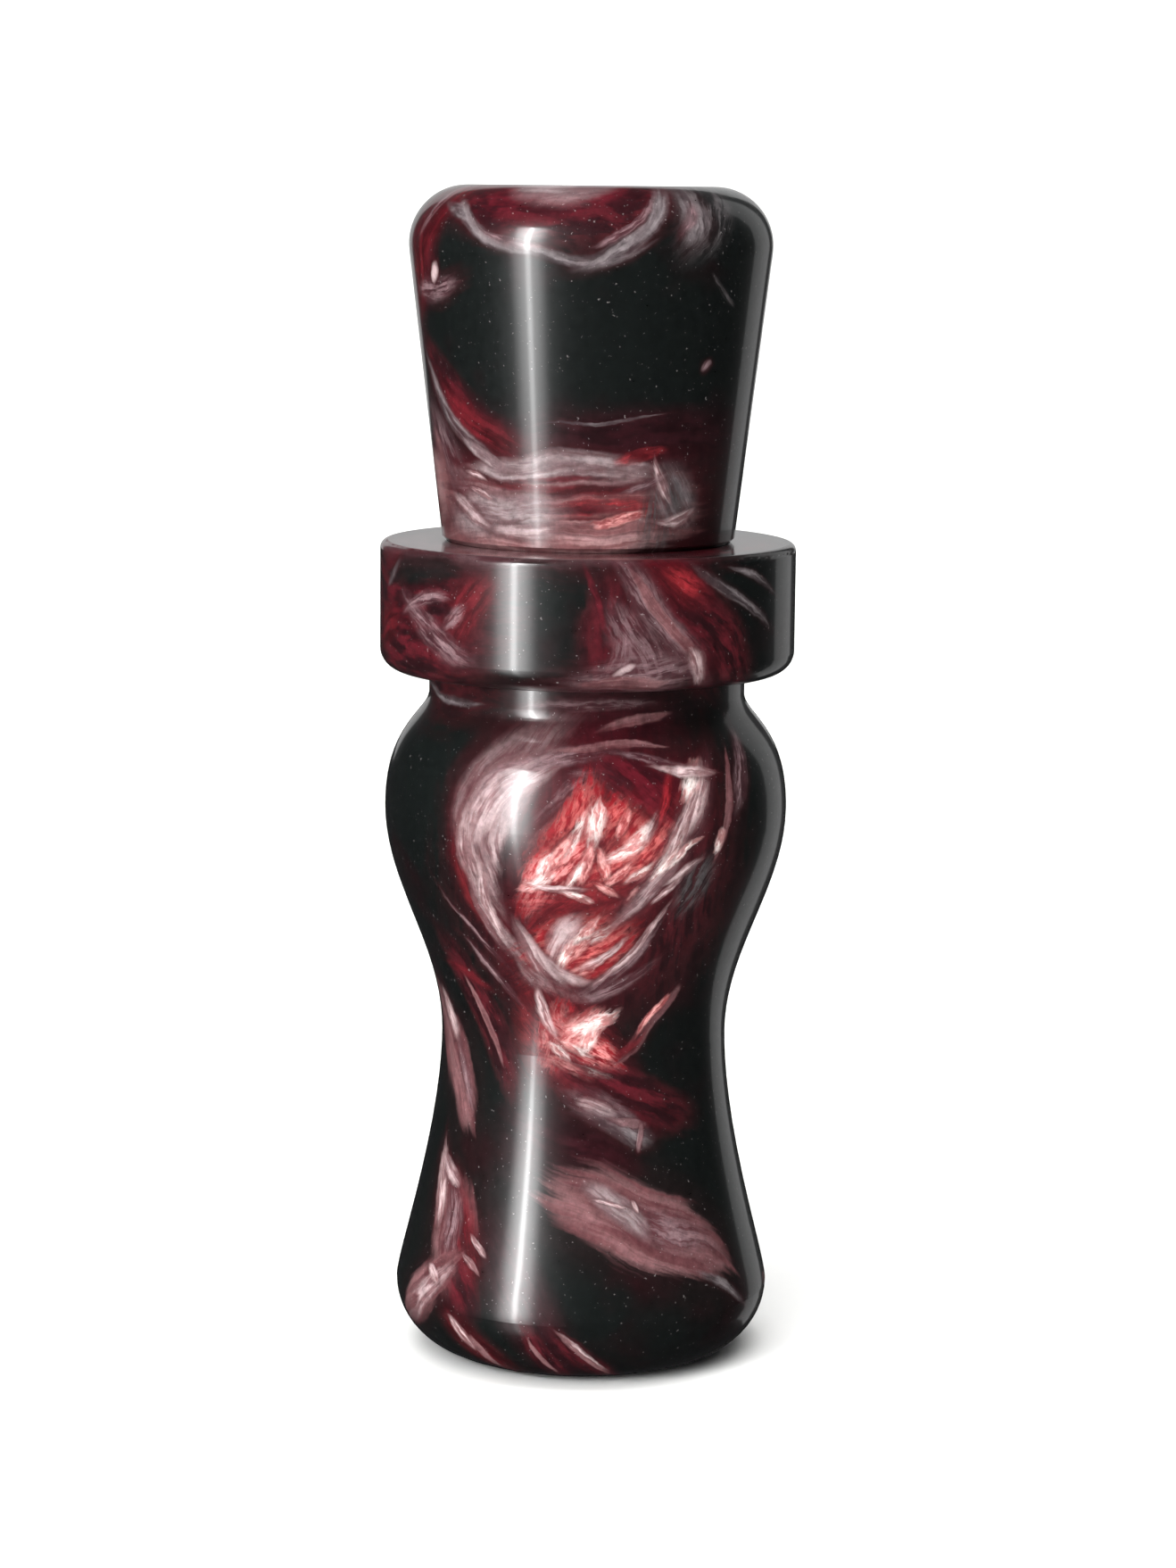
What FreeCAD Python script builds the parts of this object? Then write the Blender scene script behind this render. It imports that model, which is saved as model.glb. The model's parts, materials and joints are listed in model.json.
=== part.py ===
"""A turned resin duck call: barrel, stopper, moulded toneboard, two reeds, reed cork and two O-rings.

The call stands on its mouth end. +Z runs up the turning axis from the mouth to the exhaust, the
origin is the centre of the mouth end face, and the reeds face -Y. Lengths are in millimetres.
"""

import FreeCAD
import Part
import math
import os
import Sketcher

VECTOR = FreeCAD.Vector
SHEET = "dims"

# A cut that takes away less than this, in mm3, has missed.
SMALLEST_CUT = 1.0

# Clear of the toneboard's front, and where the cork slot's cheeks begin on the tongue.
CLEAR_OF_FRONT = "-2 * seal_radius"
CHEEKS_START = "slot_top - 1.5 * slot_length"

# Driving dimensions: alias, value, what it is.
DIMENSIONS = [
    # Barrel, from the mouth end up to the collar that the stopper rests on.
    ("barrel_length", 74.5, "mouth end to collar top"),
    ("mouth_radius", 17.1, "widest radius of the mouth end"),
    ("lip_round", 6.15, "round of the lip between the end face and the side"),
    ("waist_radius", 13.0, "narrowest radius, where the fingers hold"),
    ("waist_height", 29.6, ""),
    ("bulb_radius", 18.27, "widest radius below the lanyard groove"),
    ("bulb_height", 50.4, ""),
    ("neck_radius", 14.3, "floor of the lanyard groove"),
    ("neck_height", 60.8, "where the groove's wall turns straight up"),
    ("collar_radius", 18.75, "37.5 mm across, from a 1.5 in blank"),
    ("collar_width", 11.65, ""),
    ("collar_lower_round", 1.95, ""),
    ("collar_upper_round", 0.7, ""),
    ("mouth_pull", 2.05, "how far the outline stays parallel to the axis after the lip"),
    ("waist_pull_below", 9.45, "the same, below the waist"),
    ("waist_pull_above", 7.75, "the same, above the waist"),
    ("bulb_pull_below", 7.3, "the same, below the bulb"),
    ("bulb_pull_above", 7.4, "the same, above the bulb"),
    ("neck_pull", 2.0, "the same, below the straight wall of the groove"),
    ("mouth_bore_radius", 7.14, "9/16 in drill, from the mouth end"),
    ("mouth_bore_depth", 12.0, ""),
    ("mouth_bore_round", 1.5, ""),
    ("seal_bore_radius", 7.94, "5/8 in drill, from the collar end"),
    ("seal_bore_chamfer", 0.5, ""),
    # Stopper, the flared exhaust piece.
    ("call_height", 106.1, "mouth end to exhaust rim"),
    ("seat_gap", 0.02, "between the collar and the stopper's foot"),
    ("rim_radius", 16.25, "widest radius of the exhaust end"),
    ("rim_round", 5.2, ""),
    ("flare_angle", 6.8, "degrees between the stopper's side and the axis"),
    ("foot_chamfer", 0.4, ""),
    ("socket_radius", 7.94, "5/8 in drill for the toneboard's tail"),
    ("exhaust_radius", 7.14, "9/16 in drill, from the rim"),
    ("exhaust_round", 2.5, ""),
    # Toneboard.
    ("tail_length", 17.0, "length in the stopper's socket"),
    ("tail_radius", 7.925, "pushed into the socket"),
    ("seal_radius", 7.84, "runs in the barrel's bore"),
    ("tip_height", 14.5, "mouth end to the toneboard's tip"),
    ("tip_round", 1.2, ""),
    ("bed_offset", 0.5, "how far the flat bed lies in front of the axis"),
    ("slot_top", 62.0, "rear wall of the cork slot"),
    ("slot_length", 12.7, "1/2 in"),
    ("slot_width", 12.0, ""),
    ("facing_start", 47.0, "where the facing starts to curve away from the reed"),
    ("tip_opening", 1.6, "gap from the reed's plane to the facing at the tip"),
    ("tongue_root_width", 13.6, ""),
    ("tongue_tip_width", 11.6, ""),
    ("trough_width", 3.6, "air channel under the reeds"),
    ("trough_depth", 3.4, "below the bed, at the slot"),
    ("trough_start", 19.5, "where the trough runs out before the tip"),
    ("trough_shallow", 0.6, "its depth there, below the facing"),
    ("overlap", 1.0, "how far a cut runs on past what it cuts"),
    ("throat_radius", 3.3, "exhaust bore through the seal section"),
    ("throat_base", 63.2, "bottom of the exhaust bore"),
    ("throat_straight", 80.0, "where the bore starts to flare"),
    ("throat_end_radius", 6.3, "bore at the end of the tail"),
    # O-rings, squeezed as they sit, and their grooves.
    ("groove_radius", 6.44, "floor of an O-ring groove"),
    ("groove_width", 2.4, ""),
    ("front_groove_height", 65.8, "middle of the groove nearer the reeds"),
    ("rear_groove_height", 71.0, "middle of the groove nearer the stopper"),
    ("ring_inner_radius", 6.46, ""),
    ("ring_outer_radius", 7.92, ""),
    ("ring_width", 1.96, ""),
    ("ring_round", 0.6, ""),
    # Reeds and cork.
    ("reed_width", 11.7, ""),
    ("reed_thickness", 0.25, "0.010 in film"),
    ("reed_clearance", 0.02, "from the bed to the long reed"),
    ("reed_top", 61.9, "rear end of both reeds"),
    ("reed_corner", 2.2, "rounded corners at a reed's tip"),
    ("reed_ear", 0.9, "clipped corners at a reed's rear end"),
    ("long_reed_length", 47.0, ""),
    ("short_reed_length", 42.5, ""),
    ("dimple_height", 0.1, "keeps the short reed off the long one"),
    ("dimple_radius", 1.1, ""),
    ("dimple_top_radius", 0.5, ""),
    ("dimple_from_tip", 6.0, ""),
    ("reed_spacing", 0.12, "between the two reeds"),
    ("cork_gap", 0.02, "between the short reed and the cork"),
    ("cork_radius", 7.8, "round back of the cork"),
    ("cork_width", 11.9, ""),
    ("cork_length", 12.5, ""),
    ("cork_chamfer", 0.5, ""),
]


def make_sheet(doc):
    """Puts every driving dimension in a cell of its own, under its alias."""
    sheet = doc.addObject("Spreadsheet::Sheet", SHEET)
    for row, (alias, value, note) in enumerate(DIMENSIONS, start=1):
        sheet.set(f"A{row}", alias.replace("_", " "))
        sheet.set(f"B{row}", str(value))
        sheet.set(f"C{row}", note)
        sheet.setAlias(f"B{row}", alias)
    doc.recompute()
    return sheet


def of_sheet(formula):
    """The formula with each alias in it written as FreeCAD's expressions want it, dims.alias."""
    words = sorted((alias for alias, _, _ in DIMENSIONS), key=len, reverse=True)
    out, at = "", 0
    while at < len(formula):
        start_of_word = at == 0 or not (formula[at - 1].isalnum() or formula[at - 1] == "_")
        word = next((w for w in words if start_of_word and formula.startswith(w, at)), None)
        out += f"{SHEET}.{word}" if word else formula[at]
        at += len(word) if word else 1
    return out


def origin_plane(body, role):
    """One of the body's own origin planes, such as XZ_Plane."""
    return next(f for f in body.Origin.OriginFeatures if f.Role == role)


class Outline:
    """A closed sketch whose corners, radii and curve handles are formulas of the sheet."""

    def __init__(self, body, role, name):
        self.sketch = body.newObject("Sketcher::SketchObject", name)
        self.sketch.AttachmentSupport = [(origin_plane(body, role), "")]
        self.sketch.MapMode = "FlatFace"

    def value(self, formula):
        """What a formula of the sheet comes to, as a plain number."""
        number = self.sketch.evalExpression(of_sheet(formula))
        return float(getattr(number, "Value", number))

    def point(self, corner):
        return VECTOR(self.value(corner[0]), self.value(corner[1]), 0)

    def bind(self, constraint, formula):
        index = self.sketch.addConstraint(constraint)
        self.sketch.setExpression(f"Constraints[{index}]", of_sheet(formula))

    def pin(self, geometry, end, corner):
        """Holds one point of the sketch at its corner's two formulas."""
        for kind, formula in zip(("DistanceX", "DistanceY"), corner):
            if formula == "0":
                axis = -2 if kind == "DistanceX" else -1
                self.sketch.addConstraint(Sketcher.Constraint("PointOnObject", geometry, end, axis))
                continue
            held = Sketcher.Constraint(kind, -1, 1, geometry, end, self.value(formula))
            self.bind(held, formula)

    def line(self, start, end):
        return self.sketch.addGeometry(Part.LineSegment(start, end), False)

    def arc(self, start, end, radius, bulge):
        """A short arc from start to end. Bulge 1 has its middle to the right of the way from start to end."""
        size = self.value(radius)
        chord = end - start
        middle = (start + end) * 0.5
        aside = VECTOR(chord.y, -chord.x, 0).normalize() * bulge
        rise = size - math.sqrt(size**2 - (chord.Length / 2) ** 2)
        geometry = self.sketch.addGeometry(Part.Arc(start, middle + aside * rise, end), False)
        self.bind(Sketcher.Constraint("Radius", geometry, size), radius)
        return geometry

    def curve(self, start, end, first, second):
        """A cubic with two handles, each pinned by formulas."""
        spline = Part.BSplineCurve()
        spline.buildFromPoles([start, self.point(first), self.point(second), end], False, 3)
        geometry = self.sketch.addGeometry(spline, False)
        self.sketch.exposeInternalGeometry(geometry)
        for handle, corner in ((2, first), (3, second)):
            self.pin(geometry + handle, 3, corner)
        return geometry

    def close(self, steps):
        """Draws the closed outline. A step is its starting corner and how it goes on to the next one:
        nothing for a line, ("arc", radius, bulge) or ("curve", handle, handle)."""
        drawn = []
        for here, there in zip(steps, steps[1:] + steps[:1]):
            start, end = self.point(here[0]), self.point(there[0])
            shape = here[1] if len(here) > 1 else ("line",)
            make = {"line": self.line, "arc": self.arc, "curve": self.curve}[shape[0]]
            geometry = make(start, end, *shape[1:])
            # FreeCAD draws every arc anticlockwise, so one drawn the other way has its ends swapped.
            swapped = shape[0] == "arc" and shape[2] == -1
            drawn.append((geometry, 2, 1) if swapped else (geometry, 1, 2))
            self.pin(geometry, drawn[-1][1], here[0])
        for (one, _, out_of), (other, into, _) in zip(drawn, drawn[1:] + drawn[:1]):
            self.sketch.addConstraint(Sketcher.Constraint("Coincident", one, out_of, other, into))
        return self.sketch


def new_body(doc, label):
    body = doc.addObject("PartDesign::Body", label)
    body.Label = label
    return body


def revolve(body, sketch, name):
    """Turns a sketch on the XZ plane once round the Z axis."""
    turned = body.newObject("PartDesign::Revolution", name)
    turned.Profile = sketch
    turned.ReferenceAxis = (sketch, ["V_Axis"])
    turned.Angle = 360.0
    return turned


def groove(body, sketch, name):
    """Cuts a sketch on the XZ plane away all round the Z axis."""
    cut = body.newObject("PartDesign::Groove", name)
    cut.Profile = sketch
    cut.ReferenceAxis = (sketch, ["V_Axis"])
    cut.Angle = 360.0
    cut.Reversed = False
    return cut


def pad(body, sketch, name, length, both_ways=False):
    made = body.newObject("PartDesign::Pad", name)
    made.Profile = sketch
    made.Midplane = both_ways
    made.setExpression("Length", of_sheet(length))
    return made


def pocket(body, sketch, name, length=None):
    """Cuts to both sides of the sketch's plane, by a length across it or through everything."""
    cut = body.newObject("PartDesign::Pocket", name)
    cut.Profile = sketch
    cut.Midplane = True
    if length:
        cut.setExpression("Length", of_sheet(length))
    else:
        cut.Type = "ThroughAll"
    return cut


def barrel_outline(body):
    """The turned outside, the collar and the stepped bore, as one half section."""
    lip_inside = "mouth_radius - lip_round"
    collar_bottom = "barrel_length - collar_width"
    step = "mouth_bore_depth"
    return Outline(body, "XZ_Plane", "barrel_section").close([
        (("mouth_bore_radius + mouth_bore_round", "0"),),
        ((lip_inside, "0"), ("arc", "lip_round", 1)),
        (
            ("mouth_radius", "lip_round"),
            ("curve", ("mouth_radius", "lip_round + mouth_pull"),
             ("waist_radius", "waist_height - waist_pull_below")),
        ),
        (
            ("waist_radius", "waist_height"),
            ("curve", ("waist_radius", "waist_height + waist_pull_above"),
             ("bulb_radius", "bulb_height - bulb_pull_below")),
        ),
        (
            ("bulb_radius", "bulb_height"),
            ("curve", ("bulb_radius", "bulb_height + bulb_pull_above"),
             ("neck_radius", "neck_height - neck_pull")),
        ),
        (("neck_radius", "neck_height"),),
        (("neck_radius", collar_bottom),),
        (("collar_radius - collar_lower_round", collar_bottom), ("arc", "collar_lower_round", 1)),
        (("collar_radius", collar_bottom + " + collar_lower_round"),),
        (("collar_radius", "barrel_length - collar_upper_round"), ("arc", "collar_upper_round", 1)),
        (("collar_radius - collar_upper_round", "barrel_length"),),
        (("seal_bore_radius + seal_bore_chamfer", "barrel_length"),),
        (("seal_bore_radius", "barrel_length - seal_bore_chamfer"),),
        (("seal_bore_radius", step),),
        (("mouth_bore_radius", step),),
        (("mouth_bore_radius", "mouth_bore_round"), ("arc", "mouth_bore_round", 1)),
    ])


def make_barrel(doc):
    body = new_body(doc, "barrel")
    revolve(body, barrel_outline(body), "barrel_turning")


def stopper_outline(body):
    """The flared side, the rounded rim, the exhaust bore and the tail's socket."""
    foot = "(barrel_length + seat_gap)"
    side_top = "(call_height - rim_round - rim_round * sin(flare_angle * 1deg))"
    side_top_radius = "(rim_radius - rim_round + rim_round * cos(flare_angle * 1deg))"
    side_slope = "tan(flare_angle * 1deg)"
    foot_edge = f"({side_top_radius} - ({side_top} - {foot} - foot_chamfer) * {side_slope})"
    socket_end = "(barrel_length + tail_length + seat_gap)"
    return Outline(body, "XZ_Plane", "stopper_section").close([
        (("socket_radius", foot),),
        ((f"{foot_edge} - foot_chamfer", foot),),
        ((foot_edge, f"{foot} + foot_chamfer"),),
        ((side_top_radius, side_top), ("arc", "rim_round", 1)),
        (("rim_radius - rim_round", "call_height"),),
        (("exhaust_radius + exhaust_round", "call_height"), ("arc", "exhaust_round", 1)),
        (("exhaust_radius", "call_height - exhaust_round"),),
        (("exhaust_radius", socket_end),),
        (("socket_radius", socket_end),),
    ])


def make_stopper(doc):
    body = new_body(doc, "stopper")
    revolve(body, stopper_outline(body), "stopper_turning")


def toneboard_round(body):
    """Everything on the toneboard that is round: the tongue's back, the seal section and the tail."""
    steps = [
        (("0", "tip_height"),),
        (("seal_radius - tip_round", "tip_height"), ("arc", "tip_round", 1)),
        (("seal_radius", "tip_height + tip_round"),),
    ]
    for height in ("front_groove_height", "rear_groove_height"):
        steps += [
            (("seal_radius", f"{height} - groove_width / 2"),),
            (("groove_radius", f"{height} - groove_width / 2"),),
            (("groove_radius", f"{height} + groove_width / 2"),),
            (("seal_radius", f"{height} + groove_width / 2"),),
        ]
    steps += [
        (("seal_radius", "barrel_length"),),
        (("tail_radius", "barrel_length"),),
        (("tail_radius", "barrel_length + tail_length"),),
        (("0", "barrel_length + tail_length"),),
    ]
    return Outline(body, "XZ_Plane", "toneboard_round").close(steps)


def bed_cut(body):
    """Side view of what is cut from in front of the bed and the curved facing."""
    facing_length = "(facing_start - tip_height)"
    facing_radius = f"(({facing_length}^2 + tip_opening^2) / (2 * tip_opening))"
    return Outline(body, "YZ_Plane", "bed_and_facing").close([
        ((CLEAR_OF_FRONT, "tip_height - overlap"),),
        (("tip_opening - bed_offset", "tip_height - overlap"),),
        (("tip_opening - bed_offset", "tip_height"), ("arc", facing_radius, -1)),
        (("-bed_offset", "facing_start"),),
        (("-bed_offset", "slot_top - slot_length"),),
        ((CLEAR_OF_FRONT, "slot_top - slot_length"),),
    ])


def slot_cut(body):
    """Side view of the slot that holds the reeds and the cork between two cheeks."""
    return Outline(body, "YZ_Plane", "cork_slot").close([
        ((CLEAR_OF_FRONT, CHEEKS_START),),
        (("-bed_offset", CHEEKS_START),),
        (("-bed_offset", "slot_top"),),
        ((CLEAR_OF_FRONT, "slot_top"),),
    ])


def side_cut(body, side):
    """Front view of one side of the tongue, which narrows towards the tip."""
    name = "left" if side < 0 else "right"
    sign = "-" if side < 0 else ""
    root = "slot_top - slot_length"
    steps = [
        ((f"{sign}tongue_root_width / 2", root),),
        ((f"{sign}tongue_tip_width / 2", "tip_height - tip_round"),),
        ((f"{sign}2 * seal_radius", "tip_height - tip_round"),),
        ((f"{sign}2 * seal_radius", root),),
    ]
    return Outline(body, "XZ_Plane", f"{name}_side").close(steps)


def trough_cut(body):
    """Side view of the air channel, from its run-out near the tip to the exhaust bore."""
    run_out = "(tip_opening - bed_offset)"
    return Outline(body, "YZ_Plane", "air_trough").close([
        (("-bed_offset - overlap", "trough_start"),),
        ((f"{run_out} + trough_shallow", "trough_start"),),
        (("trough_depth - bed_offset", CHEEKS_START),),
        (("trough_depth - bed_offset", "throat_base + overlap"),),
        (("-bed_offset", "throat_base + overlap"),),
        (("-bed_offset", "slot_top - slot_length"),),
        (("-bed_offset - overlap", "slot_top - slot_length"),),
    ])


def throat_cut(body):
    """Half section of the exhaust bore, which flares in the tail."""
    tail_end = "barrel_length + tail_length"
    return Outline(body, "XZ_Plane", "exhaust_bore").close([
        (("0", "throat_base"),),
        (("throat_radius", "throat_base"),),
        (("throat_radius", "throat_straight"),),
        (("throat_end_radius", tail_end),),
        (("0", tail_end),),
    ])


def make_toneboard(doc):
    body = new_body(doc, "toneboard")
    revolve(body, toneboard_round(body), "toneboard_blank")
    pocket(body, bed_cut(body), "bed")
    pocket(body, slot_cut(body), "slot", "slot_width")
    for side in (-1, 1):
        pocket(body, side_cut(body, side), f"taper_{'left' if side < 0 else 'right'}")
    pocket(body, trough_cut(body), "trough", "trough_width")
    groove(body, throat_cut(body), "throat")


def make_ring(doc, label, height):
    """An O-ring squeezed between its groove and the barrel's bore."""
    body = new_body(doc, label)
    low, high = f"{height} - ring_width / 2", f"{height} + ring_width / 2"
    inner, outer, corner = "ring_inner_radius", "ring_outer_radius", "ring_round"
    section = Outline(body, "XZ_Plane", f"{label}_section").close([
        ((f"{inner} + {corner}", low),),
        ((f"{outer} - {corner}", low), ("arc", corner, 1)),
        ((outer, f"{low} + {corner}"),),
        ((outer, f"{high} - {corner}"), ("arc", corner, 1)),
        ((f"{outer} - {corner}", high),),
        ((f"{inner} + {corner}", high), ("arc", corner, 1)),
        ((inner, f"{high} - {corner}"),),
        ((inner, f"{low} + {corner}"), ("arc", corner, 1)),
    ])
    revolve(body, section, f"{label}_turning")


def reed_outline(body, label, length):
    """Front view of a reed: rounded at the tip, clipped at the rear corners."""
    half, tip = "reed_width / 2", f"reed_top - {length}"
    return Outline(body, "XZ_Plane", f"{label}_shape").close([
        (("-(reed_width / 2 - reed_corner)", tip),),
        ((f"{half} - reed_corner", tip), ("arc", "reed_corner", 1)),
        ((half, f"{tip} + reed_corner"),),
        ((half, "reed_top - reed_ear"),),
        ((f"{half} - reed_ear", "reed_top"),),
        (("-(reed_width / 2 - reed_ear)", "reed_top"),),
        (("-reed_width / 2", "reed_top - reed_ear"),),
        (("-reed_width / 2", f"{tip} + reed_corner"), ("arc", "reed_corner", 1)),
    ])


def make_reed(doc, label, length, middle):
    """A flat film reed, placed with its middle plane at y = middle."""
    body = new_body(doc, label)
    pad(body, reed_outline(body, label, length), f"{label}_film", "reed_thickness", both_ways=True)
    body.setExpression("Placement.Base.y", of_sheet(middle))
    return body


LONG_REED_MIDDLE = "-(bed_offset + reed_clearance + reed_thickness / 2)"
SHORT_REED_MIDDLE = f"{LONG_REED_MIDDLE} - reed_thickness - reed_spacing"


def make_short_reed(doc):
    """The short reed has a small pressed dimple on the side that faces the long reed."""
    body = make_reed(doc, "short_reed", "short_reed_length", SHORT_REED_MIDDLE)
    dimple = body.newObject("PartDesign::AdditiveCone", "dimple")
    dimple.AttachmentSupport = [(origin_plane(body, "XZ_Plane"), "")]
    dimple.MapMode = "FlatFace"
    # The plane faces -Y and the long reed lies on its +Y side, so the cone starts at its narrow end.
    for size, formula in (
        ("Radius1", "dimple_top_radius"),
        ("Radius2", "dimple_radius"),
        ("Height", "dimple_height"),
        ("AttachmentOffset.Base.y", "reed_top - short_reed_length + dimple_from_tip"),
        ("AttachmentOffset.Base.z", "-(reed_thickness / 2 + dimple_height)"),
    ):
        dimple.setExpression(size, of_sheet(formula))


def make_cork(doc):
    """The half-moon cork that pins the reeds, flat on them and round against the bore."""
    body = new_body(doc, "reed_cork")
    flat = f"{SHORT_REED_MIDDLE} - reed_thickness / 2 - cork_gap"
    shoulder = "-sqrt(cork_radius^2 - (cork_width / 2)^2)"
    section = Outline(body, "XY_Plane", "cork_section").close([
        (("-cork_width / 2", shoulder), ("arc", "cork_radius", 1)),
        (("cork_width / 2", shoulder),),
        (("cork_width / 2", flat),),
        (("-cork_width / 2", flat),),
    ])
    block = pad(body, section, "cork_block", "cork_length")
    body.setExpression("Placement.Base.z", of_sheet("reed_top - cork_length"))
    doc.recompute()
    round_edges = [
        f"Edge{number}"
        for number, edge in enumerate(block.Shape.Edges, start=1)
        if edge.Curve.TypeId == "Part::GeomCircle"
    ]
    bevel = body.newObject("PartDesign::Chamfer", "cork_bevel")
    bevel.Base = (block, round_edges)
    bevel.setExpression("Size", of_sheet("cork_chamfer"))


def check(doc):
    """Stops if a feature failed, a cut took nothing away or a sub-part isn't one sound solid."""
    doc.recompute()
    for feature in doc.Objects:
        if {"Invalid", "Error"} & set(feature.State):
            raise RuntimeError(f"{feature.Name} failed: {feature.State}")
        if feature.TypeId in ("PartDesign::Pocket", "PartDesign::Groove"):
            removed = feature.BaseFeature.Shape.Volume - feature.Shape.Volume
            if removed < SMALLEST_CUT:
                raise RuntimeError(f"{feature.Name} took away only {removed:.2f} mm3")
            print(f"{feature.Name}: took away {removed:.1f} mm3")
    bodies = [o for o in doc.Objects if o.TypeId == "PartDesign::Body"]
    for body in bodies:
        shape = body.Shape
        if shape.isNull() or not shape.isValid() or len(shape.Solids) != 1:
            raise RuntimeError(f"{body.Label} isn't one valid solid")
        print(f"{body.Label}: {shape.Volume:.1f} mm3")
    return bodies


def main():
    doc = FreeCAD.newDocument("duck_call")
    make_sheet(doc)
    make_barrel(doc)
    make_stopper(doc)
    make_toneboard(doc)
    make_ring(doc, "front_o_ring", "front_groove_height")
    make_ring(doc, "rear_o_ring", "rear_groove_height")
    make_reed(doc, "long_reed", "long_reed_length", LONG_REED_MIDDLE)
    make_short_reed(doc)
    make_cork(doc)
    bodies = check(doc)
    os.makedirs("parts", exist_ok=True)
    for body in bodies:
        body.Shape.exportStep(os.path.join("parts", f"{body.Label}.step"))


main()
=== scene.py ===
"""A turned resin duck call on a pale studio floor, seen from a little above its middle.

Lengths in the frame are metres. The resin's pattern is laid out on the turned surface in degrees
round the axis (0 faces the camera, 90 is the right side) and millimetres up from the mouth end.
"""

import json
import math
from collections import namedtuple

import bpy
from mathutils import Matrix, Vector, noise


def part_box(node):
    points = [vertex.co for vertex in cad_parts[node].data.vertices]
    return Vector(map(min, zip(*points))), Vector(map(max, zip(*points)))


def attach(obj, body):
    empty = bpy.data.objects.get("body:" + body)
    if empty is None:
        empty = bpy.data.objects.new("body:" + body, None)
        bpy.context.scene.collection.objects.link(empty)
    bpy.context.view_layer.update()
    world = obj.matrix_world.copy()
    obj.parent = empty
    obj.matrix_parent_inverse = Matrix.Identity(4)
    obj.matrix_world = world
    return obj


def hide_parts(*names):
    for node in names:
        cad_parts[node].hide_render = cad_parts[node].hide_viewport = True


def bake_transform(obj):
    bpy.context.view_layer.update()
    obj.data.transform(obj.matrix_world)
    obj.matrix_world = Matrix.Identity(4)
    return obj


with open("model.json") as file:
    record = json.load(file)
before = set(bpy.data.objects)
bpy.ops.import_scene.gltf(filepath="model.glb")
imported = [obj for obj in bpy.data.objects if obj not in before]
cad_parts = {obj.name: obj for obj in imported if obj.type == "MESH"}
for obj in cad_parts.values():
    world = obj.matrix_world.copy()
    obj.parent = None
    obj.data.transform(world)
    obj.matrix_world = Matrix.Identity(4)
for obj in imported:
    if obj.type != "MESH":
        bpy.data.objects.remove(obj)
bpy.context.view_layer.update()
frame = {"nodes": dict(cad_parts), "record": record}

MM = 0.001

# Each turning's top face: its height and the radius of its edge, in millimetres.
BARREL_TOP = (74.5, 18.05)
STOPPER_TOP = (106.1, 11.05)
CALL_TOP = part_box("stopper")[1].z


class Graph:
    """A node tree with one-line helpers, so that a material reads as a list of steps."""

    def __init__(self, tree):
        self.tree = tree

    def node(self, kind, inputs=None, **settings):
        made = self.tree.nodes.new(kind)
        for name, value in settings.items():
            setattr(made, name, value)
        for name, value in (inputs or {}).items():
            self.feed(made.inputs[name], value)
        return made

    def feed(self, socket, value):
        if isinstance(value, bpy.types.NodeSocket):
            self.tree.links.new(value, socket)
        else:
            socket.default_value = value

    def math(self, operation, *values):
        made = self.node("ShaderNodeMath", operation=operation)
        for socket, value in zip(made.inputs, values):
            self.feed(socket, value)
        return made.outputs[0]

    def vector(self, operation, *values):
        made = self.node("ShaderNodeVectorMath", operation=operation)
        for socket, value in zip(made.inputs, values):
            self.feed(socket, value)
        return made.outputs["Value" if operation in ("DOT_PRODUCT", "LENGTH") else "Vector"]

    def split(self, vector):
        return self.node("ShaderNodeSeparateXYZ", {"Vector": vector}).outputs

    def part(self, vector, axis):
        """One coordinate. Unlike split, it leaves no unused values behind in the shader's memory."""
        picked = {"x": (1, 0, 0), "y": (0, 1, 0), "z": (0, 0, 1)}[axis]
        return self.vector("DOT_PRODUCT", vector, picked)

    def join(self, x=0.0, y=0.0, z=0.0):
        return self.node("ShaderNodeCombineXYZ", {"X": x, "Y": y, "Z": z}).outputs[0]

    def smooth(self, value, low, high, out_low=0.0, out_high=1.0):
        """Goes smoothly from out_low to out_high as value goes from low to high."""
        inputs = {"Value": value, "From Min": low, "From Max": high, "To Min": out_low, "To Max": out_high}
        made = self.node("ShaderNodeMapRange", inputs, interpolation_type="SMOOTHSTEP")
        return made.outputs[0]

    def noise(self, vector, scale, detail=2.0, roughness=0.5):
        inputs = {"Vector": vector, "Scale": scale, "Detail": detail, "Roughness": roughness}
        return self.node("ShaderNodeTexNoise", inputs).outputs["Fac"]

    def mix(self, factor, first, second):
        """Mixes two colours."""
        made = self.node("ShaderNodeMix", data_type="RGBA")
        for socket, value in zip((made.inputs[0], made.inputs[6], made.inputs[7]), (factor, first, second)):
            self.feed(socket, value)
        return made.outputs[2]

    def bump(self, height, strength, distance):
        inputs = {"Height": height, "Strength": strength, "Distance": distance}
        return self.node("ShaderNodeBump", inputs).outputs[0]

    def object_point(self):
        return self.node("ShaderNodeTexCoord").outputs["Object"]


def new_material(name):
    """A material, its graph and its main shader."""
    material = bpy.data.materials.new(name)
    material.use_nodes = True
    graph = Graph(material.node_tree)
    shader = next(n for n in graph.tree.nodes if n.type == "BSDF_PRINCIPLED")
    return material, graph, shader


def set_shader(graph, shader, **values):
    """Feeds the shader's sockets, named with underscores for spaces."""
    for name, value in values.items():
        graph.feed(shader.inputs[name.replace("_", " ")], value)


# ---------------------------------------------------------------------------------------------
# Cast resin

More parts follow.
